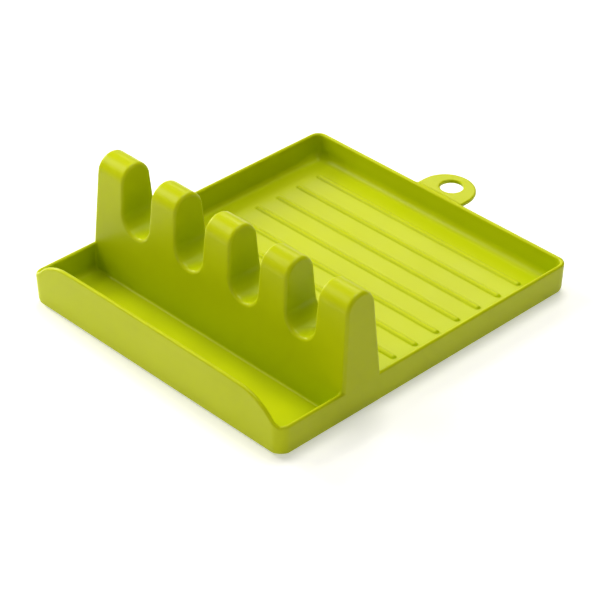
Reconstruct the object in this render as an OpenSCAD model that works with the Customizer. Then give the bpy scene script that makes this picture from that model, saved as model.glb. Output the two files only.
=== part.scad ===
// Utensil rest: a one-piece moulded tray with a slotted rack across it, a tall
// front lip, a ribbed drip floor and a hanging tab, on four soft foot pads.
// X runs along the rack, Y from the front lip to the back wall, Z up. The
// origin is at the bottom centre of the whole part.

/* [Base] */
// Width of the base along the rack, at its bottom edge
base_w = 170; // [160:1:200]
// Depth of the base from front to back, at its bottom edge
base_d = 190; // [180:1:230]
// Height of the side and back walls above the bottom edge
wall_h = 15.8; // [12:0.2:22]
// Thickness of the walls, the rim and the lip
wall_t = 2.2; // [1.8:0.1:2.8]
// Thickness of the floor
floor_t = 1.8; // [1.4:0.1:2.6]
// Outward lean of the walls in degrees
wall_lean = 2.3; // [1:0.1:4]
// Corner radius of the outline at the bottom edge
corner_r = 5.4; // [5:0.1:9]
// Rounding of the outer bottom edge
edge_r = 1.3; // [0.5:0.1:1.5]
// Fillet between the floor and the walls
fillet_r = 2.6; // [1.5:0.1:2.8]

/* [Front lip] */
// Height of the front lip above the bottom edge
lip_h = 28.6; // [24:0.2:34]
// Radius of the curve that brings each end of the lip down to the rim
lip_end_r = 24; // [20:0.5:36]

/* [Rack] */
// Number of slots
slot_count = 4; // [3:1:4]
// Distance from slot to slot
slot_pitch = 37; // [34:0.5:38]
// Width of a slot where its sides meet its round bottom
slot_w = 18.2; // [14:0.2:21]
// Height of the bottom of a slot above the bottom edge
slot_floor_h = 31.2; // [26:0.2:38]
// Height of the posts above the bottom edge
rack_h = 63; // [56:0.5:72]
// Distance of the rack's front foot from the front bottom edge
rack_front = 36.8; // [30:0.2:46]
// Depth of the rack at its foot
rack_foot_d = 26.4; // [22:0.2:32]
// Lean of the rack's front and back faces in degrees
rack_lean = 4.6; // [2:0.2:5]
// Lean of the rack's end faces in degrees
end_lean = 1.9; // [1:0.1:3]
// Lean of the sides of a slot in degrees
slot_lean = 2.2; // [1:0.1:3]
// Rounding of the posts' tops at their sides
top_side_r = 2; // [1.5:0.1:4]
// Wall thickness of the hollow rack
rack_t = 2; // [1.6:0.1:2.4]
// Radius of the web that joins the back rim to the rack
web_r = 3.5; // [3:0.5:8]

/* [Drip ribs] */
// Number of ribs on the floor behind the rack
rib_count = 8; // [5:1:8]
// Distance of the rearmost rib from the back bottom edge
rib_back = 15.95; // [12:0.05:20]
// Distance of the first rib from the rack's back foot
rib_front = 10.4; // [6:0.1:14]
// Length of a rib, end to end
rib_l = 139; // [100:1:150]
// Width of a rib at the floor
rib_w = 3.2; // [2:0.1:5]
// Height of a rib above the floor
rib_h = 1.1; // [0.6:0.1:1.5]

/* [Hanging tab] */
// Radius of the round end of the tab
tab_r = 15; // [13:0.5:18]
// Reach of the tab behind the back bottom edge
tab_reach = 20.9; // [18:0.1:30]
// Thickness of the tab
tab_t = 2.2; // [1.6:0.1:3]
// Drop of the tab's top below the top of the rim
tab_drop = 0.2; // [0.1:0.1:2]
// Radius of the hanging hole
hole_r = 5.9; // [4:0.1:7]
// Distance of the hole's centre from the tab's round end
hole_inset = 10.9; // [10:0.1:13]

/* [Foot pads] */
// Radius of a foot pad
foot_r = 6; // [4:0.5:8]
// Distance of a pad's centre from the bottom edges
foot_inset = 14; // [12:0.5:16]
// Depth of the recess that holds a pad
foot_seat = 0.7; // [0.4:0.1:0.9]
// Height of a pad below the base
foot_proud = 0.7; // [0.5:0.1:1.5]
// Clearance round a pad in its recess
foot_gap = 0.15; // [0.1:0.05:0.3]
// Bevel round the lower face of a pad
foot_bevel = 0.4; // [0.2:0.1:0.5]

/* [Hidden] */
$fn = 40;

// Overlap that fuses neighbouring shapes of the moulding
lap = 1;
// Length that lets a cut run clear of the part
over = 20;
// Hair's breadth by which a round laps over the flat it runs into
ease = 0.002;
// Steps of the arcs in the hollow's outlines
arc_steps = 12;
// Sides of a rib's round in the preview
rib_sides = 16;

half_w = base_w / 2;
// Slope of each leaning face, as inward or outward travel for each unit of height
wall_slope = tan(wall_lean);
rack_slope = tan(rack_lean);
end_slope = tan(end_lean);
slot_slope = tan(slot_lean);

rack_back = rack_front + rack_foot_d;
// The full round along the posts' tops touches the front and the back face
rack_mid_y = rack_front + rack_foot_d / 2;
top_r = (rack_foot_d / 2 - rack_h * rack_slope) * cos(rack_lean) / (1 - sin(rack_lean));
top_axis_h = rack_h - top_r;
slot_r = slot_w / 2;
slot_span = (slot_count - 1) * slot_pitch;
slot_x = [for (i = [0 : slot_count - 1]) i * slot_pitch - slot_span / 2];
// Height of the centre of a slot's round bottom
slot_axis_h = slot_floor_h + slot_r;

tab_top = wall_h - tab_drop;
tab_axis_y = base_d + tab_reach - tab_r;
hole_y = base_d + tab_reach - hole_inset;

rib_pitch = (base_d - rib_back - rack_back - rib_front) / (rib_count - 1);

// The lip leans with the wall, so its top reaches in front of the bottom edge
front_reach = (lip_h - wall_t / 2) * wall_slope;
origin_y = (base_d + tab_reach - front_reach) / 2;

green = [0.74, 0.80, 0.10];
soft_grey = [0.45, 0.46, 0.44];

// Section of a leaning wall with its strip of floor. The first axis runs
// outward from the centre of the corner radius, the second one up.
module wall_section() {
    rim_r = wall_t / 2;
    // Heights along the leaning face: of the bottom rounding and of the rim
    edge_along = edge_r * (1 - sin(wall_lean)) / cos(wall_lean) - ease;
    rim_along = (wall_h - rim_r * (1 + sin(wall_lean))) / cos(wall_lean);
    edge_x = corner_r - edge_r * cos(wall_lean) + edge_along * sin(wall_lean);
    // The fillet circle touches the floor and the inner face
    fil_h = floor_t + fillet_r;
    fil_along = (fil_h - (wall_t + fillet_r) * sin(wall_lean)) / cos(wall_lean);
    fil_x = corner_r - (wall_t + fillet_r) * cos(wall_lean) + fil_along * sin(wall_lean);
    touch_x = fil_x + fillet_r * cos(wall_lean);
    touch_h = fil_h - fillet_r * sin(wall_lean);
    square([edge_x, floor_t]);
    translate([corner_r, 0])
        rotate(-wall_lean) {
            translate([-edge_r, edge_along]) circle(r = edge_r);
            translate([-wall_t, edge_along]) square([wall_t, rim_along - edge_along]);
            translate([-rim_r, rim_along]) circle(r = rim_r);
        }
    difference() {
        polygon([
            [fil_x, floor_t],
            [fil_x, floor_t / 2],
            [touch_x + lap, floor_t / 2],
            [touch_x + lap, touch_h],
            [touch_x, touch_h]
        ]);
        translate([fil_x, fil_h]) circle(r = fillet_r + ease);
    }
}

// A straight run of wall, centred, with its outer bottom edge on the X axis and
// its floor strip on the +Y side
module wall_run(length) {
    translate([length / 2, corner_r, 0])
        rotate([90, 0, -90])
            linear_extrude(height = length) wall_section();
}

module wall_corner() {
    rotate_extrude(angle = 90) wall_section();
}

// Floor and the four walls, open where the rack stands
module tray() {
    run_x = base_w - 2 * corner_r;
    run_front = rack_front + wall_h * rack_slope + lap - corner_r;
    run_back = base_d - corner_r - rack_back + wall_h * rack_slope + lap;
    translate([-half_w + corner_r, corner_r, 0])
        cube([run_x, base_d - 2 * corner_r, floor_t]);
    wall_run(run_x);
    translate([0, base_d, 0]) rotate([0, 0, 180]) wall_run(run_x);
    for (side = [-1, 1]) {
        translate([side * half_w, corner_r + run_front / 2, 0])
            rotate([0, 0, side * 90]) wall_run(run_front);
        translate([side * half_w, base_d - corner_r - run_back / 2, 0])
            rotate([0, 0, side * 90]) wall_run(run_back);
    }
    for (k = [0 : 3]) {
        corner_x = (k == 0 || k == 3 ? 1 : -1) * (half_w - corner_r);
        corner_y = k < 2 ? base_d - corner_r : corner_r;
        translate([corner_x, corner_y, 0]) rotate([0, 0, k * 90]) wall_corner();
    }
}

// Front lip: a plate in line with the front wall, with a full round edge along
// its straight top and down the arc at each end
module lip() {
    // Measured along the lean, and the lip to a hundredth, so that its arcs and
    // its straight top meet without a gap
    along = round(100 * lip_h / cos(wall_lean)) / 100;
    rim_along = wall_h / cos(wall_lean);
    // Strips below the round edge, down into the front wall
    strip = along - rim_along / 2;
    end_strip = min(strip, lip_end_r - wall_t);
    end_c_z = along - lip_end_r;
    // The arc comes down to the rim where the corner of the outline starts
    end_a = acos((rim_along - end_c_z) / lip_end_r);
    straight_x = round(100 * (half_w - corner_r - lip_end_r * sin(end_a))) / 100;
    rotate([wall_lean, 0, 0]) {
        translate([-straight_x, wall_t, along - lip_end_r])
            rotate([90, 0, 90])
                linear_extrude(height = 2 * straight_x)
                    rotate(90) lip_edge(lip_end_r, strip);
        for (side = [0, 1])
            mirror([side, 0, 0])
                translate([straight_x, 0, end_c_z])
                    rotate([-90, 0, 0])
                        rotate(-90)
                            rotate_extrude(angle = end_a)
                                lip_edge(lip_end_r, end_strip);
    }
}

// Section of the lip's strip: its round edge reaches the given radius, and its
// thickness lies along the second axis
module lip_edge(r, strip) {
    rim_r = wall_t / 2;
    translate([r - strip, 0]) square([strip - rim_r, wall_t]);
    translate([r - rim_r, rim_r]) circle(r = rim_r);
}

// Points along an arc, from one angle to another
function arc(centre, r, from, to) =
    [for (k = [0 : arc_steps])
        let (a = from + (to - from) * k / arc_steps) centre + r * [cos(a), sin(a)]];

// Outline of the rack seen along X, with Y across and Z up
module rack_side() {
    polygon([
        [rack_front, 0],
        [rack_back, 0],
        [rack_mid_y + (top_r - ease) * cos(rack_lean), top_axis_h + top_r * sin(rack_lean)],
        [rack_mid_y - (top_r - ease) * cos(rack_lean), top_axis_h + top_r * sin(rack_lean)]
    ]);
    translate([rack_mid_y, top_axis_h]) circle(r = top_r);
}

// Fillets along the front and the back foot of the rack
module rack_fillets() {
    fil_h = floor_t + fillet_r;
    touch_h = fil_h - fillet_r * sin(rack_lean);
    for (side = [-1, 1]) {
        foot_y = rack_mid_y + side * rack_foot_d / 2;
        fil_y = foot_y - side * (fil_h * rack_slope - fillet_r / cos(rack_lean));
        touch_y = fil_y - side * fillet_r * cos(rack_lean);
        translate([-half_w + wall_t / 2, 0, 0])
            rotate([90, 0, 90])
                linear_extrude(height = base_w - wall_t)
                    difference() {
                        polygon([
                            [fil_y, floor_t],
                            [fil_y, floor_t / 2],
                            [foot_y - side * lap, floor_t / 2],
                            [touch_y - side * lap, touch_h],
                            [touch_y, touch_h]
                        ]);
                        translate([fil_y, fil_h]) circle(r = fillet_r + ease);
                    }
    }
}

// Outline of one post seen along Y, from the height of the slots' centres up,
// between its left and right sides at that height
module post_face(left, right, left_lean, right_lean) {
    up = rack_h - top_side_r - slot_axis_h;
    inner_r = top_side_r - ease;
    left_c = [left + up * tan(left_lean) + top_side_r / cos(left_lean), rack_h - top_side_r];
    right_c = [right - up * tan(right_lean) - top_side_r / cos(right_lean), rack_h - top_side_r];
    polygon([
        [left, slot_axis_h],
        [right, slot_axis_h],
        right_c + inner_r * [cos(right_lean), sin(right_lean)],
        right_c + [0, inner_r],
        left_c + [0, inner_r],
        left_c + inner_r * [-cos(left_lean), sin(left_lean)]
    ]);
    translate(left_c) circle(r = top_side_r);
    translate(right_c) circle(r = top_side_r);
}

// Outline of the rack seen along Y: a block with leaning ends, cut by the
// round slot bottoms, and a post between each pair of slots
module rack_comb() {
    end_x = half_w - slot_axis_h * end_slope;
    sides = concat([-end_x], [for (x = slot_x) each [x - slot_r, x + slot_r]], [end_x]);
    difference() {
        union() {
            polygon([[-half_w, 0], [half_w, 0], [end_x, slot_axis_h], [-end_x, slot_axis_h]]);
            for (i = [0 : slot_count])
                post_face(sides[2 * i], sides[2 * i + 1],
                    i == 0 ? end_lean : slot_lean, i == slot_count ? end_lean : slot_lean);
        }
        for (x = slot_x) translate([x, slot_axis_h]) circle(r = slot_r);
    }
}

module rack_outside() {
    intersection() {
        translate([-half_w - over, 0, 0])
            rotate([90, 0, 90]) linear_extrude(height = base_w + 2 * over) rack_side();
        translate([0, rack_back + over, 0])
            rotate([90, 0, 0]) linear_extrude(height = rack_foot_d + 2 * over) rack_comb();
    }
}

// The hollow under the rack, open below, which leaves a wall of even thickness
module rack_hollow() {
    top = rack_h - rack_t;
    skin = rack_t / cos(rack_lean);
    core_r = top_r - rack_t;
    roof_r = slot_r + rack_t;
    roof_side = roof_r / cos(slot_lean);
    end_skin = rack_t / cos(end_lean);
    post_rise = top - slot_axis_h;
    intersection() {
        translate([-half_w - over, 0, 0])
            rotate([90, 0, 90])
                linear_extrude(height = base_w + 2 * over)
                    polygon(concat(
                        [[rack_front + skin - over * rack_slope, -over],
                            [rack_back - skin + over * rack_slope, -over]],
                        arc([rack_mid_y, top_axis_h], core_r, rack_lean, 180 - rack_lean)
                    ));
        translate([0, rack_back + over, 0])
            rotate([90, 0, 0])
                linear_extrude(height = rack_foot_d + 2 * over)
                    difference() {
                        polygon([
                            [-half_w + end_skin - over * end_slope, -over],
                            [half_w - end_skin + over * end_slope, -over],
                            [half_w - end_skin - top * end_slope, top],
                            [-half_w + end_skin + top * end_slope, top]
                        ]);
                        for (x = slot_x)
                            polygon(concat(
                                arc([x, slot_axis_h], roof_r, 180 + slot_lean, 360 - slot_lean),
                                [[x + roof_side + post_rise * slot_slope, top + over],
                                    [x - roof_side - post_rise * slot_slope, top + over]]
                            ));
                    }
    }
}

// Web at each end that carries the side rim up into the back of the rack
module rim_web() {
    rim_y = rack_back - wall_h * rack_slope;
    for (side = [-1, 1])
        translate([side * (half_w + wall_h * wall_slope - wall_t / 2) - wall_t / 2, 0, 0])
            rotate([90, 0, 90])
                linear_extrude(height = wall_t)
                    difference() {
                        translate([rim_y - lap, wall_h - lap - wall_t / 2])
                            square([web_r + lap, web_r + lap + wall_t / 2]);
                        translate([rim_y + web_r, wall_h + web_r]) circle(r = web_r);
                    }
}

// One rib: a long rounded ridge that stands up out of the floor
module rib() {
    round_r = (pow(rib_w / 2, 2) + pow(rib_h, 2)) / (2 * rib_h);
    translate([0, 0, floor_t + rib_h - round_r])
        rotate([0, 90, 0])
            rotate_extrude($fn = rib_sides)
                intersection() {
                    translate([0, -rib_l]) square([round_r, 2 * rib_l]);
                    union() {
                        square([2 * round_r, rib_l - 2 * round_r], center = true);
                        for (k = [-1, 1]) translate([0, k * (rib_l / 2 - round_r)]) circle(r = round_r);
                    }
                }
}

module drip_ribs() {
    intersection() {
        for (i = [0 : rib_count - 1])
            translate([0, base_d - rib_back - i * rib_pitch, 0]) rib();
        translate([-half_w, 0, floor_t / 2]) cube([base_w, base_d, wall_h]);
    }
}

// Hanging tab, just below the rim's crest, still without its hole. It starts
// in the middle of the back wall.
module tab() {
    root_y = base_d + tab_top * wall_slope - wall_t / 2;
    translate([0, 0, tab_top - tab_t]) {
        intersection() {
            translate([0, tab_axis_y, 0]) cylinder(h = tab_t, r = tab_r);
            translate([-tab_r - lap, root_y, -lap])
                cube([2 * (tab_r + lap), tab_reach + lap, tab_t + 2 * lap]);
        }
        translate([-tab_r, root_y, 0]) cube([2 * tab_r, tab_axis_y - root_y, tab_t]);
    }
}

module foot_places() {
    for (x = [-1, 1], y = [foot_inset, base_d - foot_inset])
        translate([x * (half_w - foot_inset), y, 0]) children();
}

module in_part_frame() {
    translate([0, -origin_y, foot_proud]) children();
}

module rest_body() {
    color(green) in_part_frame() difference() {
        union() {
            tray();
            lip();
            rack_outside();
            rack_fillets();
            rim_web();
            drip_ribs();
            tab();
        }
        rack_hollow();
        translate([0, hole_y, tab_top - tab_t - over]) cylinder(h = tab_t + 2 * over, r = hole_r);
        foot_places() translate([0, 0, -over]) cylinder(h = over + foot_seat, r = foot_r + foot_gap);
    }
}

// A soft pad pressed into its recess, with a bevelled lower face
module foot_pad(side, y) {
    color(soft_grey) in_part_frame()
        translate([side * (half_w - foot_inset), y, -foot_proud]) {
            cylinder(h = foot_bevel, r1 = foot_r - foot_bevel, r2 = foot_r);
            translate([0, 0, foot_bevel]) cylinder(h = foot_proud + foot_seat - foot_bevel, r = foot_r);
        }
}

module foot_front_left() { foot_pad(-1, foot_inset); }
module foot_front_right() { foot_pad(1, foot_inset); }
module foot_rear_left() { foot_pad(-1, base_d - foot_inset); }
module foot_rear_right() { foot_pad(1, base_d - foot_inset); }

rest_body();
foot_front_left();
foot_front_right();
foot_rear_left();
foot_rear_right();
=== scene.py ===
import math

import bmesh
import bpy
import numpy as np
from mathutils import Matrix, Quaternion, Vector


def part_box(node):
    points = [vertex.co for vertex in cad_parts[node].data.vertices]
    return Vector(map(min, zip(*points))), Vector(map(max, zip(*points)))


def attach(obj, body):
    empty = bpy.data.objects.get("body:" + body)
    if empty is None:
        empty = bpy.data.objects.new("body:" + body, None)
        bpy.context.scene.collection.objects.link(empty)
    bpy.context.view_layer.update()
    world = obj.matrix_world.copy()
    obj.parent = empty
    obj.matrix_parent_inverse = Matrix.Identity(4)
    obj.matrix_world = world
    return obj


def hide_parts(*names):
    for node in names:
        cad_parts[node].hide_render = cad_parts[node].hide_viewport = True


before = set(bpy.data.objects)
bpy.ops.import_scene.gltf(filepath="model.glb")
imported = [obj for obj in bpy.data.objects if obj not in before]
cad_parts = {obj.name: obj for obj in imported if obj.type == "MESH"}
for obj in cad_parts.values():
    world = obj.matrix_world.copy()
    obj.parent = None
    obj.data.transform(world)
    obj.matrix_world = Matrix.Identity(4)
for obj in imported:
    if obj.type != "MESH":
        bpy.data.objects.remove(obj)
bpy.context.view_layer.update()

# Utensil rest. The moulding is described by signed distances, in millimetres:
# X along the rack, Y back from the front bottom edge, Z up from the bottom of
# the moulding. Its surface is meshed once and then set into the frame. The
# foot pads are turned solids in the same axes.

MM = 0.001

# Base
HALF_W = 85.0
BASE_D = 190.0
WALL_T = 2.2
FLOOR_T = 1.8
RIM_H = 14.7  # of the axis of the rim's round
WALL_LEAN = math.radians(2.3)
CORNER_R = 5.4
EDGE_R = 1.3
CORNER_EDGE_R = 1.4  # what the bottom rounding gains at the corners
FILLET_R = 2.6
BACK_FILLET_R = 4.6
BACK_FILLET_START = 18.0  # in front of the back edge, where the floor's fillet starts to grow
BACK_FILLET_RUN = 10.0  # over which it grows

# Front lip: a flat middle, a shallow crown, and an arc down to the rim
LIP_H = 27.5  # of the axis of its round edge
LIP_FLAT = 25.0  # half the length of its flat middle
LIP_CROWN_R = 1100.0
LIP_END_R = 26.0
LIP_TURN = math.radians(1.8)  # slope where the crown meets the end arc
LIP_BLEND = 4.5  # height over which the end arc runs out onto the rim

# Rack
SLOT_COUNT = 4
SLOT_PITCH = 37.0
SLOT_R = 9.1
SLOT_AXIS_H = 40.3
SLOT_LEAN = math.radians(2.2)
RACK_H = 63.0
RACK_FRONT = 36.8
RACK_FOOT_D = 26.4
RACK_LEAN = math.radians(4.6)
RACK_T = 2.0
END_LEAN = math.radians(2.1)
END_TURN_H = 14.0  # where the lean of the side walls turns into that of the rack's ends
END_TURN_SOFT = 3.0
POST_EDGE_R = 1.8
FOOT_FILLET_R = 1.2
BLEND_BEHIND = 25.0  # reach of the twist that brings the side walls flush with the ends
BLEND_FRONT = 1.8
BLEND_FRONT_STEEP = 4.0
BLEND_LIMIT = 40.0  # keeps the exponential in range

# Drip ribs
RIB_COUNT = 8
RIB_BACK = 15.95  # from the back edge to the rearmost rib
RIB_PITCH = 14.35
RIB_L = 139.0
RIB_W = 3.2
RIB_H = 1.1
RIB_FILLET_R = 0.2

# Hanging tab
TAB_R = 15.0
TAB_AXIS_Y = 195.9
TAB_TOP = 15.6
TAB_T = 2.2
TAB_EDGE_R = 0.8
HOLE_R = 5.9
HOLE_Y = 200.0

# Foot pads
FOOT_R = 6.0
FOOT_INSET = 14.0
FOOT_SEAT = 0.7  # depth of the recess
FOOT_GAP = 0.15  # all round the pad in its recess
FOOT_EDGE_R = 0.45
PAD_TOP_GAP = 0.05
PAD_RIM_R = 3.6
PAD_DISH = 0.3
PAD_SIDES = 64
PAD_BEND_STEPS = 6  # in a quarter turn

# Mesh
GRID_STEP = 2.0  # the coarsest along X and Y
GRID_STEP_UP = 1.8
GRID_START = (0.35, -2.6, -0.75)  # the first line along each axis
GRID_GROWTH = 0.35  # of a step, per millimetre from the nearest fine spot
FIELD_PARTS = 8  # the field is worked out in parts, to spare memory
FIELD_STEP = 0.01  # over which its slope is measured
LIP_STEP = 0.05  # over which the lip's slope is measured
SNAP_PASSES = 4
SNAP_MOVE = 0.6  # the most that a point moves in one pass
SNAP_SLOPE = 0.05  # the least square of the slope, where two surfaces meet
FLAT_ANGLE = math.radians(0.15)  # faces that turn less than this are joined
TINY = 1e-6  # keeps a divisor from zero

# Plastic. Colours are linear light; each noise is a scale per metre and a detail
PLASTIC_DEEP = (0.57, 0.645, 0.001, 1)
PLASTIC_PALE = (0.60, 0.675, 0.002, 1)
PLASTIC_CLOUD = (28, 3)
PLASTIC_PAINTED_SHADE = (0.39, 0.52, 0.0, 1)  # painted shade: darker and greener in creases and recesses, where ambient occlusion finds nearby surfaces
PAINTED_SHADE_REACH = 0.022
PAINTED_SHADE_SAMPLES = 24
PLASTIC_ROUGH = (0.29, 0.36)
PLASTIC_SHEEN = (60, 4)
PLASTIC_IOR = 1.49
PLASTIC_GLOSS = 0.16
PLASTIC_GRAIN = (2600, 2)
PLASTIC_GRAIN_DEPTH = 0.000012

# Rubber
RUBBER_DEEP = (0.34, 0.355, 0.33, 1)
RUBBER_PALE = (0.40, 0.415, 0.385, 1)
RUBBER_CLOUD = (300, 3)
RUBBER_ROUGH = 0.78
RUBBER_GRAIN = (3500, 2)
RUBBER_GRAIN_DEPTH = 0.00004

NOISE_SPAN = (0.3, 0.7)  # where most of a noise's values lie
GRAIN_STRENGTH = 0.5

# Camera
CAMERA_TURN = (45.83, 34.64, 0.16)  # bearing from the front, height and roll, in degrees
CAMERA_PLACE = (0.6739, -0.6653, 0.6467)
CAMERA_SENSOR = 36
CAMERA_LENS = 142.73
CAMERA_CLIP = (0.05, 50)

# Surroundings
WHITE = (1, 1, 1, 1)
SKY_LIGHT = 0.02
FLOOR_SIZE = 8
FLOOR_COLOUR = (0.9, 0.9, 0.9, 1)
FLOOR_ROUGH = 0.9
FLOOR_GLOW = (0.13, 0.4)  # as it lights the object, and as it is seen

# Lamps: name, bearing, height and turn in degrees, size in metres, power, and colour
LAMP_DISTANCE = 1.5
LAMPS = [
    ("left", 186, 23, 0, (0.5, 0.5), 15.5, (1, 0.94, 0.82)),
    ("above", 120, 78, 0, (0.7, 0.7), 12.0, (1, 0.97, 0.90)),
    ("strip", 212, 43, -41, (0.7, 0.22), 4.6, (1, 0.97, 0.92)),
    ("behind", 130, 38, 0, (0.6, 0.6), 4.0, (1, 0.97, 0.90)),
    ("front", 270, 15, 0, (0.8, 0.8), 2.9, (1, 0.97, 0.90)),
    ("right", 0, 33, 0, (0.8, 0.8), 1.8, (1, 0.97, 0.90)),
]

END_X = HALF_W - CORNER_R
RACK_MID_Y = RACK_FRONT + RACK_FOOT_D / 2
# Round of the post tops, which runs into both leaning faces
TOP_R = (
    (RACK_FOOT_D / 2 - RACK_H * math.tan(RACK_LEAN))
    * math.cos(RACK_LEAN) / (1 - math.sin(RACK_LEAN))
)
# Where the moulding's own axes lie in the frame
BODY_LOW, BODY_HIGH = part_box("rest_body")
ORIGIN_Y = TAB_AXIS_Y + TAB_R - BODY_HIGH.y / MM
BASE_Z = BODY_LOW.z / MM


def over(value):
    """The value where it is above zero, and zero elsewhere."""
    return np.maximum(value, 0.0)


def fillet_join(a, b, r):
    """Union of two shapes, with a fillet of radius r where they meet."""
    return np.maximum(np.minimum(a, b), r) - np.hypot(over(r - a), over(r - b))


def round_cut(a, b, r):
    """Intersection of two shapes, with an edge rounded to radius r."""
    return np.minimum(np.maximum(a, b), -r) + np.hypot(over(r + a), over(r + b))


def lip_axis(s):
    """Height of the axis of the wall's round edge, at s along the front wall from its middle."""
    crown_c = LIP_H - LIP_CROWN_R
    reach = LIP_CROWN_R - LIP_END_R
    end_s = LIP_FLAT + reach * math.sin(LIP_TURN)
    end_c = crown_c + reach * math.cos(LIP_TURN)
    touch_s = LIP_FLAT + LIP_CROWN_R * math.sin(LIP_TURN)
    crown = crown_c + np.sqrt(LIP_CROWN_R ** 2 - over(s - LIP_FLAT) ** 2)
    arc = end_c + np.sqrt(over(LIP_END_R ** 2 - (s - end_s) ** 2))
    top = np.where(s < touch_s, crown, arc)
    near = over(1 - np.abs(top - RIM_H) / LIP_BLEND)
    return np.maximum(top, RIM_H) + LIP_BLEND / 4 * near ** 2


def end_inset(z):
    """How far the rack's end faces stand in from the lean of the side walls, at each height."""
    rise = z - END_TURN_H
    past = (rise + np.sqrt(rise ** 2 + END_TURN_SOFT ** 2)) / 2
    return past * (math.tan(WALL_LEAN) + math.tan(END_LEAN))


def side_twist(y, z):
    """How far the side walls stand in, so that they come flush with the rack's ends."""
    mid = np.abs(y - RACK_MID_Y)
    past = mid - (RACK_FOOT_D / 2 - z * math.tan(RACK_LEAN))
    behind = np.exp(-over(past) / BLEND_BEHIND)
    fall = (past + BLEND_FRONT) * BLEND_FRONT_STEEP / BLEND_FRONT
    before = 1 / (1 + np.exp(np.clip(fall, -BLEND_LIMIT, BLEND_LIMIT)))
    return np.where(y > RACK_MID_Y, behind, before) * end_inset(z)


def tray(x, y, z):
    """The floor and the walls, with the full round of the rim and the lip."""
    qx = np.abs(x) - END_X
    qy = np.abs(y - BASE_D / 2) - (BASE_D / 2 - CORNER_R)
    plan = np.hypot(over(qx), over(qy)) + np.minimum(np.maximum(qx, qy), 0)
    sideways = over(qx) / (over(qx) + over(qy) + TINY)
    lean = plan - CORNER_R - z * math.tan(WALL_LEAN) + side_twist(y, z) * sideways
    side = lean * math.cos(WALL_LEAN)
    corner = np.clip(2 * over(qx) * over(qy) / CORNER_R ** 2, 0, 1)
    outer = round_cut(side, -z, EDGE_R + CORNER_EDGE_R * corner)
    back = np.clip((y - BASE_D + BACK_FILLET_START) / BACK_FILLET_RUN, 0, 1)
    fillet = FILLET_R + (BACK_FILLET_R - FILLET_R) * back
    cavity = round_cut(side + WALL_T, FLOOR_T - z, fillet)
    shell = np.maximum(outer, -cavity)
    # Round edge along the top of the wall, which follows the lip along the front
    before = over(CORNER_R - y)
    turn = np.arctan2(over(qx), before + TINY)
    s = np.minimum(np.abs(x), END_X) + (CORNER_R - WALL_T / 2) * turn
    height = lip_axis(s)
    slope = (lip_axis(s + LIP_STEP) - lip_axis(s - LIP_STEP)) / (2 * LIP_STEP)
    height = np.where(before > 0, height, RIM_H)
    slope = np.where(before > 0, slope, 0.0)
    up = (z - height) / np.sqrt(1 + slope ** 2)
    rim = np.hypot(side + WALL_T / 2, over(up)) - WALL_T / 2
    return np.where(up > 0, rim, shell), side


def rack(x, y, z):
    """The rack's outside: leaning faces under full round tops, cut by the slots."""
    across = np.abs(y - RACK_MID_Y)
    rise = z - (RACK_H - TOP_R)
    flat = (across - RACK_FOOT_D / 2) * math.cos(RACK_LEAN) + z * math.sin(RACK_LEAN)
    past = rise * math.cos(RACK_LEAN) - across * math.sin(RACK_LEAN)
    faces = np.where(past > 0, np.hypot(across, rise) - TOP_R, flat)
    ends = (np.abs(x) - HALF_W - z * math.tan(WALL_LEAN) + end_inset(z)) * math.cos(END_LEAN)
    last = SLOT_COUNT // 2
    nearest = np.clip(np.floor(x / SLOT_PITCH), -last, last - 1) + 0.5
    aside = np.abs(x - nearest * SLOT_PITCH)
    drop = z - SLOT_AXIS_H
    flank = aside * math.cos(SLOT_LEAN) - drop * math.sin(SLOT_LEAN) - SLOT_R
    under = drop * math.cos(SLOT_LEAN) + aside * math.sin(SLOT_LEAN)
    slots = np.where(under < 0, np.hypot(aside, drop) - SLOT_R, flank)
    post = round_cut(faces, np.maximum(ends, -slots), POST_EDGE_R)
    return post, round_cut(post, -z, EDGE_R)


def ribs(x, y, z):
    """Long rounded ridges on the floor behind the rack, which end inside the floor."""
    r = ((RIB_W / 2) ** 2 + RIB_H ** 2) / (2 * RIB_H)
    rearmost = BASE_D - RIB_BACK
    index = np.clip(np.round((rearmost - y) / RIB_PITCH), 0, RIB_COUNT - 1)
    aside = y - (rearmost - index * RIB_PITCH)
    along = over(np.abs(x) - (RIB_L / 2 - r))
    drop = z - (FLOOR_T + RIB_H - r)
    ridge = np.sqrt(along ** 2 + aside ** 2 + drop ** 2) - r
    return np.maximum(ridge, FLOOR_T / 2 - z)


def tab(x, y, z):
    """The hanging tab, from inside the back wall out, with its hole."""
    past = over(y - TAB_AXIS_Y)
    outline = np.hypot(x, past) - TAB_R
    hole = HOLE_R - np.hypot(x, y - HOLE_Y)
    root = BASE_D - WALL_T / 4 - y
    plan = np.maximum(np.maximum(outline, hole), root)
    return round_cut(plan, np.abs(z - TAB_TOP + TAB_T / 2) - TAB_T / 2, TAB_EDGE_R)


def recesses(x, y, z):
    """The round seats of the foot pads, in the underside."""
    aside = np.abs(x) - (HALF_W - FOOT_INSET)
    along = np.abs(y - BASE_D / 2) - (BASE_D / 2 - FOOT_INSET)
    return np.maximum(np.hypot(aside, along) - FOOT_R - FOOT_GAP, z - FOOT_SEAT)


def moulding(x, y, z):
    """Signed distance to the surface of the whole moulding, for arrays that broadcast."""
    walls, side = tray(x, y, z)
    post, standing = rack(x, y, z)
    inward = np.clip(-side / WALL_T, 0, 1)
    body = fillet_join(walls, standing, FOOT_FILLET_R * inward)
    body = fillet_join(body, ribs(x, y, z), RIB_FILLET_R)
    body = fillet_join(body, tab(x, y, z), TAB_EDGE_R)
    body = np.maximum(body, -(post + RACK_T))
    return np.maximum(body, -recesses(x, y, z))


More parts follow.
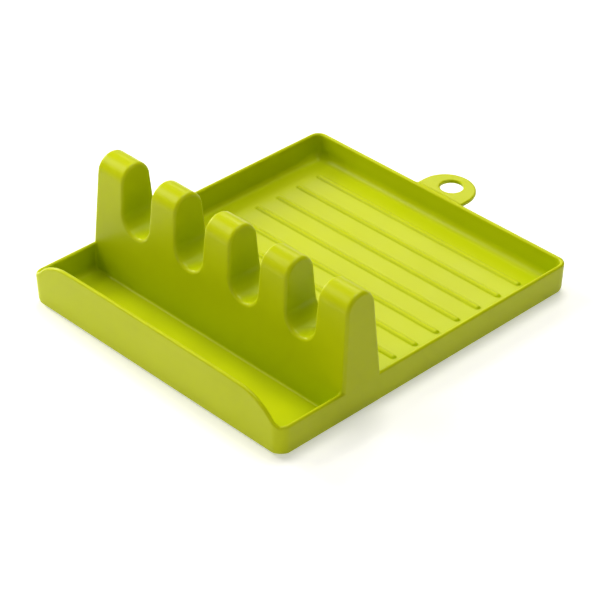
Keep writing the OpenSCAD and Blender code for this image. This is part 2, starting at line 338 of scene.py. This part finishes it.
def graded(low, high, coarse, spots):
    """Grid lines from low to high, close together at the spots: (place, reach, step)."""
    lines = [low]
    while lines[-1] < high:
        steps = [coarse]
        for place, reach, step in spots:
            steps.append(step + GRID_GROWTH * max(0.0, abs(lines[-1] - place) - reach))
        lines.append(lines[-1] + min(steps))
    return np.array(lines)


def grid_lines():
    """The lines of the grid along each axis, fine where the surface turns."""
    first_x, first_y, first_z = GRID_START
    tab_end = TAB_AXIS_Y + TAB_R
    # Side wall, end arcs of the lip, and the slots' sides
    half = [(HALF_W, 3.0, 0.5), (HALF_W - 12, 10.0, 0.9)]
    for middle in (SLOT_PITCH / 2, SLOT_PITCH * 1.5):
        half += [(middle - SLOT_R, 2.6, 0.6), (middle + SLOT_R, 2.6, 0.6)]
    right = graded(first_x, HALF_W + 3, GRID_STEP, half)
    x = np.concatenate([-right[::-1], right])
    # Front and back wall, the rack's faces, the ribs, the hole and the tab's end
    deep = [(0.6, 2.4, 0.5), (BASE_D - 0.8, 2.4, 0.5)]
    deep += [(RACK_FRONT + 2.5, 4.5, 0.6), (RACK_FRONT + RACK_FOOT_D - 2.5, 4.5, 0.6)]
    deep += [(BASE_D - RIB_BACK - k * RIB_PITCH, 1.8, 0.45) for k in range(RIB_COUNT)]
    deep += [(HOLE_Y - HOLE_R, 1.5, 0.5), (HOLE_Y + HOLE_R, 1.5, 0.5), (tab_end - 1, 1.5, 0.5)]
    y = graded(first_y, tab_end + 1, GRID_STEP, deep)
    # Floor, rim, end arcs and top of the lip, the slots' bottoms and the post tops
    tall = [(1.5, 2.2, 0.4), (RIM_H, 1.6, 0.35), (21, 6.0, 0.8), (LIP_H, 1.8, 0.4)]
    tall += [(SLOT_AXIS_H - SLOT_R, 3.2, 0.6), (RACK_H - 5, 5.5, 0.6)]
    z = graded(first_z, RACK_H + 1, GRID_STEP_UP, tall)
    return x, y, z


def surface_net(x, y, z, field):
    """Vertices and quads of the surface where the field changes sign on a grid."""
    inside = field < 0
    shape = tuple(n - 1 for n in field.shape)
    corners = [(i, j, k) for i in (0, 1) for j in (0, 1) for k in (0, 1)]

    def corner(grid, c):
        return grid[c[0]:c[0] + shape[0], c[1]:c[1] + shape[1], c[2]:c[2] + shape[2]]

    count = sum(corner(inside, c).astype(np.int8) for c in corners)
    cells = np.argwhere((count > 0) & (count < 8))
    index = np.full(shape, -1, np.int32)
    index[tuple(cells.T)] = np.arange(len(cells))
    # Each cell on the surface has one vertex, amid the crossings on its edges
    lines = (x, y, z)
    total = np.zeros((len(cells), 3))
    crossed = np.zeros(len(cells))
    for axis in range(3):
        for c in corners:
            if c[axis]:
                continue
            start = cells + np.array(c)
            end = start.copy()
            end[:, axis] += 1
            a = field[tuple(start.T)]
            b = field[tuple(end.T)]
            hit = (a < 0) != (b < 0)
            share = np.where(hit, a / np.where(hit, a - b, 1), 0)
            for d in range(3):
                p = lines[d][start[:, d]]
                q = lines[d][end[:, d]]
                total[:, d] += np.where(hit, p + share * (q - p), 0)
            crossed += hit
    points = total / crossed[:, None]
    # Each crossed edge has one quad, between the four cells round it, turned outwards
    quads = []
    for axis in range(3):
        u, v = (axis + 1) % 3, (axis + 2) % 3
        lo = [slice(1, -1)] * 3
        lo[axis] = slice(None, -1)
        hi = list(lo)
        hi[axis] = slice(1, None)
        a = inside[tuple(lo)]
        b = inside[tuple(hi)]
        edges = np.argwhere(a != b)
        out = a[tuple(edges.T)]
        edges[:, u] += 1
        edges[:, v] += 1
        ring = []
        for du, dv in ((-1, -1), (0, -1), (0, 0), (-1, 0)):
            cell = edges.copy()
            cell[:, u] += du
            cell[:, v] += dv
            ring.append(index[tuple(cell.T)])
        ring = np.stack(ring, 1)
        ring[~out] = ring[~out][:, ::-1]
        quads.append(ring)
    return points, np.concatenate(quads)


def field_slope(points):
    """Slope of the moulding's field at the points."""
    x, y, z = points.T
    e = FIELD_STEP
    return np.stack([
        moulding(x + e, y, z) - moulding(x - e, y, z),
        moulding(x, y + e, z) - moulding(x, y - e, z),
        moulding(x, y, z + e) - moulding(x, y, z - e),
    ], 1) / (2 * e)


def to_surface(points):
    """Moves points straight onto the surface."""
    for _ in range(SNAP_PASSES):
        slope = field_slope(points)
        square = np.maximum((slope ** 2).sum(1), SNAP_SLOPE)
        move = np.clip(moulding(*points.T) / square, -SNAP_MOVE, SNAP_MOVE)
        points = points - slope * move[:, None]
    return points


def in_frame(points):
    """From the moulding's own axes to the frame, in metres."""
    return (points + np.array([0.0, -ORIGIN_Y, BASE_Z])) * MM


def join_flat_faces(mesh):
    """Joins neighbouring faces that lie in one plane, and cuts up those of over four corners."""
    bm = bmesh.new()
    bm.from_mesh(mesh)
    bmesh.ops.dissolve_limit(bm, angle_limit=FLAT_ANGLE, verts=bm.verts, edges=bm.edges)
    bmesh.ops.triangulate(bm, faces=[f for f in bm.faces if len(f.verts) > 4])
    bm.to_mesh(mesh)
    bm.free()


def new_object(name, mesh, material):
    """A smooth piece of one material, in the scene."""
    mesh.polygons.foreach_set("use_smooth", np.ones(len(mesh.polygons), bool))
    mesh.update()
    mesh.materials.append(material)
    piece = bpy.data.objects.new(name, mesh)
    bpy.context.scene.collection.objects.link(piece)
    return piece


def make_moulding(material):
    """The moulding's mesh, shaded by the slope of its field."""
    x, y, z = grid_lines()
    field = np.concatenate([
        moulding(part[:, None, None], y[None, :, None], z[None, None, :])
        for part in np.array_split(x, FIELD_PARTS)
    ])
    points, quads = surface_net(x, y, z, field)
    mesh = bpy.data.meshes.new("moulding")
    mesh.from_pydata(to_surface(points).tolist(), [], quads.tolist())
    join_flat_faces(mesh)
    kept = np.empty(len(mesh.vertices) * 3)
    mesh.vertices.foreach_get("co", kept)
    kept = kept.reshape(-1, 3)
    slope = field_slope(kept)
    normals = slope / np.linalg.norm(slope, axis=1)[:, None]
    mesh.vertices.foreach_set("co", in_frame(kept).ravel())
    body = new_object("moulding", mesh, material)
    mesh.normals_split_custom_set_from_vertices(normals.tolist())
    return body


def lathe(name, profile, centre):
    """A turned solid from a profile of radius and height, closed on its axis at both ends."""
    turns = [2 * math.pi * k / PAD_SIDES for k in range(PAD_SIDES)]
    rings = profile[1:-1]
    points = [(0.0, 0.0, profile[0][1])]
    for r, z in rings:
        points += [(r * math.cos(a), r * math.sin(a), z) for a in turns]
    points.append((0.0, 0.0, profile[-1][1]))
    last = len(points) - 1
    faces = []
    for k in range(PAD_SIDES):
        n = (k + 1) % PAD_SIDES
        faces.append((0, 1 + n, 1 + k))
        for ring in range(len(rings) - 1):
            a = 1 + ring * PAD_SIDES
            b = a + PAD_SIDES
            faces.append((a + k, a + n, b + n, b + k))
        a = 1 + (len(rings) - 1) * PAD_SIDES
        faces.append((a + k, a + n, last))
    mesh = bpy.data.meshes.new(name)
    mesh.from_pydata(in_frame(np.array(points) + centre).tolist(), [], faces)
    return mesh


def make_pads(material):
    """Four soft pads: a rounded rim to stand on, round a shallow dish."""
    low = -BASE_Z
    top = FOOT_SEAT - PAD_TOP_GAP
    quarter = [math.radians(90 / PAD_BEND_STEPS * k) for k in range(PAD_BEND_STEPS + 1)]
    bend = [(1 - math.sin(a), 1 - math.cos(a)) for a in quarter]
    profile = [(0.0, low + PAD_DISH), (PAD_RIM_R - PAD_DISH, low + PAD_DISH)]
    profile += [(PAD_RIM_R + PAD_DISH * more, low + PAD_DISH * less) for less, more in bend]
    profile += [(FOOT_R - FOOT_EDGE_R * less, low + FOOT_EDGE_R * more) for less, more in bend]
    profile += [(FOOT_R, top - FOOT_EDGE_R / 2), (FOOT_R - FOOT_EDGE_R / 2, top), (0.0, top)]
    for side, x in (("left", FOOT_INSET - HALF_W), ("right", HALF_W - FOOT_INSET)):
        for end, y in (("front", FOOT_INSET), ("rear", BASE_D - FOOT_INSET)):
            place = end + "_" + side
            mesh = lathe("pad_" + place, profile, np.array([x, y, 0.0]))
            pad = new_object(mesh.name, mesh, material)
            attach(pad, "root")
            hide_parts("foot_" + place)


def noise(tree, scale, detail):
    """Noise in the object's own metres."""
    place = tree.nodes.new("ShaderNodeTexCoord")
    texture = tree.nodes.new("ShaderNodeTexNoise")
    texture.inputs["Scale"].default_value = scale
    texture.inputs["Detail"].default_value = detail
    tree.links.new(place.outputs["Object"], texture.inputs["Vector"])
    return texture.outputs["Fac"]


def spread(tree, value, span, result):
    """Maps one span of values to another."""
    node = tree.nodes.new("ShaderNodeMapRange")
    for socket, number in zip(("From Min", "From Max", "To Min", "To Max"), span + result):
        node.inputs[socket].default_value = number
    tree.links.new(value, node.inputs["Value"])
    return node.outputs["Result"]


def tint(tree, value, first, second):
    """Mixes two colours, each of them a fixed one or another node's."""
    node = tree.nodes.new("ShaderNodeMix")
    node.data_type = "RGBA"
    for socket, colour in (("A", first), ("B", second)):
        if isinstance(colour, bpy.types.NodeSocket):
            tree.links.new(colour, node.inputs[socket])
        else:
            node.inputs[socket].default_value = colour
    tree.links.new(value, node.inputs["Factor"])
    return node.outputs["Result"]


def grain(tree, shader, pattern, depth):
    """The fine relief of a spark-eroded mould."""
    bump = tree.nodes.new("ShaderNodeBump")
    bump.inputs["Strength"].default_value = GRAIN_STRENGTH
    bump.inputs["Distance"].default_value = depth
    tree.links.new(noise(tree, *pattern), bump.inputs["Height"])
    tree.links.new(bump.outputs["Normal"], shader.inputs["Normal"])


def new_material(name):
    """A material, its node tree and its shader."""
    mat = bpy.data.materials.new(name)
    mat.use_nodes = True
    return mat, mat.node_tree, mat.node_tree.nodes["Principled BSDF"]


def plastic():
    """Satin polypropylene: pigment that clouds a little, painted shade that darkens and greens it
    in creases and recesses, and a finely grained skin.
    """
    mat, tree, shader = new_material("green_plastic")
    cloud = spread(tree, noise(tree, *PLASTIC_CLOUD), NOISE_SPAN, (0, 1))
    colour = tint(tree, cloud, PLASTIC_DEEP, PLASTIC_PALE)
    # Painted shade: an ambient occlusion node turns the colour darker and greener in creases and
    # recesses
    painted_shade = tree.nodes.new("ShaderNodeAmbientOcclusion")
    painted_shade.samples = PAINTED_SHADE_SAMPLES
    painted_shade.only_local = True
    painted_shade.inputs["Distance"].default_value = PAINTED_SHADE_REACH
    colour = tint(tree, painted_shade.outputs["AO"], PLASTIC_PAINTED_SHADE, colour)
    tree.links.new(colour, shader.inputs["Base Color"])
    rough = spread(tree, noise(tree, *PLASTIC_SHEEN), NOISE_SPAN, PLASTIC_ROUGH)
    tree.links.new(rough, shader.inputs["Roughness"])
    shader.inputs["IOR"].default_value = PLASTIC_IOR
    shader.inputs["Specular IOR Level"].default_value = PLASTIC_GLOSS
    grain(tree, shader, PLASTIC_GRAIN, PLASTIC_GRAIN_DEPTH)
    return mat


def rubber():
    """Matt grey elastomer."""
    mat, tree, shader = new_material("grey_rubber")
    cloud = spread(tree, noise(tree, *RUBBER_CLOUD), NOISE_SPAN, (0, 1))
    colour = tint(tree, cloud, RUBBER_DEEP, RUBBER_PALE)
    tree.links.new(colour, shader.inputs["Base Color"])
    shader.inputs["Roughness"].default_value = RUBBER_ROUGH
    grain(tree, shader, RUBBER_GRAIN, RUBBER_GRAIN_DEPTH)
    return mat


def make_camera():
    """The photograph's camera: its place, bearing and field of view."""
    bearing, height, roll = (math.radians(a) for a in CAMERA_TURN)
    level = math.cos(height)
    back = Vector((math.sin(bearing) * level, -math.cos(bearing) * level, math.sin(height)))
    data = bpy.data.cameras.new("camera")
    data.sensor_width = CAMERA_SENSOR
    data.lens = CAMERA_LENS
    data.clip_start, data.clip_end = CAMERA_CLIP
    camera = bpy.data.objects.new("camera", data)
    bpy.context.scene.collection.objects.link(camera)
    turn = (-back).to_track_quat("-Z", "Y").to_matrix() @ Matrix.Rotation(roll, 3, "Z")
    camera.matrix_world = Matrix.Translation(CAMERA_PLACE) @ turn.to_4x4()
    bpy.context.scene.camera = camera


def make_lamp(name, bearing, height, turn, size, power, colour):
    """A soft box aimed at the rest, with its bearing from +X and its turn about its own axis."""
    a, e, t = math.radians(bearing), math.radians(height), math.radians(turn)
    data = bpy.data.lights.new(name, "AREA")
    data.shape = "RECTANGLE"
    data.size, data.size_y = size
    data.energy = power
    data.color = colour
    lamp = bpy.data.objects.new(name, data)
    bpy.context.scene.collection.objects.link(lamp)
    away = Vector((math.cos(e) * math.cos(a), math.cos(e) * math.sin(a), math.sin(e)))
    lamp.location = LAMP_DISTANCE * away
    aim = lamp.location.to_track_quat("Z", "Y") @ Quaternion((0, 0, 1), t)
    lamp.rotation_euler = aim.to_euler()


def seen_directly(tree):
    """1 for rays from the camera, and for those seen in gloss or through glass."""
    path = tree.nodes.new("ShaderNodeLightPath")
    value = path.outputs["Is Camera Ray"]
    for other in ("Is Glossy Ray", "Is Transmission Ray"):
        node = tree.nodes.new("ShaderNodeMath")
        node.operation = "MAXIMUM"
        tree.links.new(value, node.inputs[0])
        tree.links.new(path.outputs[other], node.inputs[1])
        value = node.outputs["Value"]
    return value


def make_stage():
    """A white floor that keeps the shadow, and white surroundings."""
    world = bpy.data.worlds.new("surroundings")
    bpy.context.scene.world = world
    world.use_nodes = True
    background = world.node_tree.nodes["Background"]
    background.inputs["Color"].default_value = WHITE
    background.inputs["Strength"].default_value = SKY_LIGHT
    bpy.ops.mesh.primitive_plane_add(size=FLOOR_SIZE)
    floor = bpy.context.object
    floor.name = "floor"
    mat, tree, shader = new_material("floor_white")
    shader.inputs["Base Color"].default_value = FLOOR_COLOUR
    shader.inputs["Roughness"].default_value = FLOOR_ROUGH
    shader.inputs["Specular IOR Level"].default_value = 0
    shader.inputs["Emission Color"].default_value = WHITE
    glow = spread(tree, seen_directly(tree), (0, 1), FLOOR_GLOW)
    tree.links.new(glow, shader.inputs["Emission Strength"])
    floor.data.materials.append(mat)


bpy.context.scene.view_settings.view_transform = "Standard"
make_camera()
body = make_moulding(plastic())
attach(body, "root")
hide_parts("rest_body")
make_pads(rubber())
make_stage()
for lamp in LAMPS:
    make_lamp(*lamp)
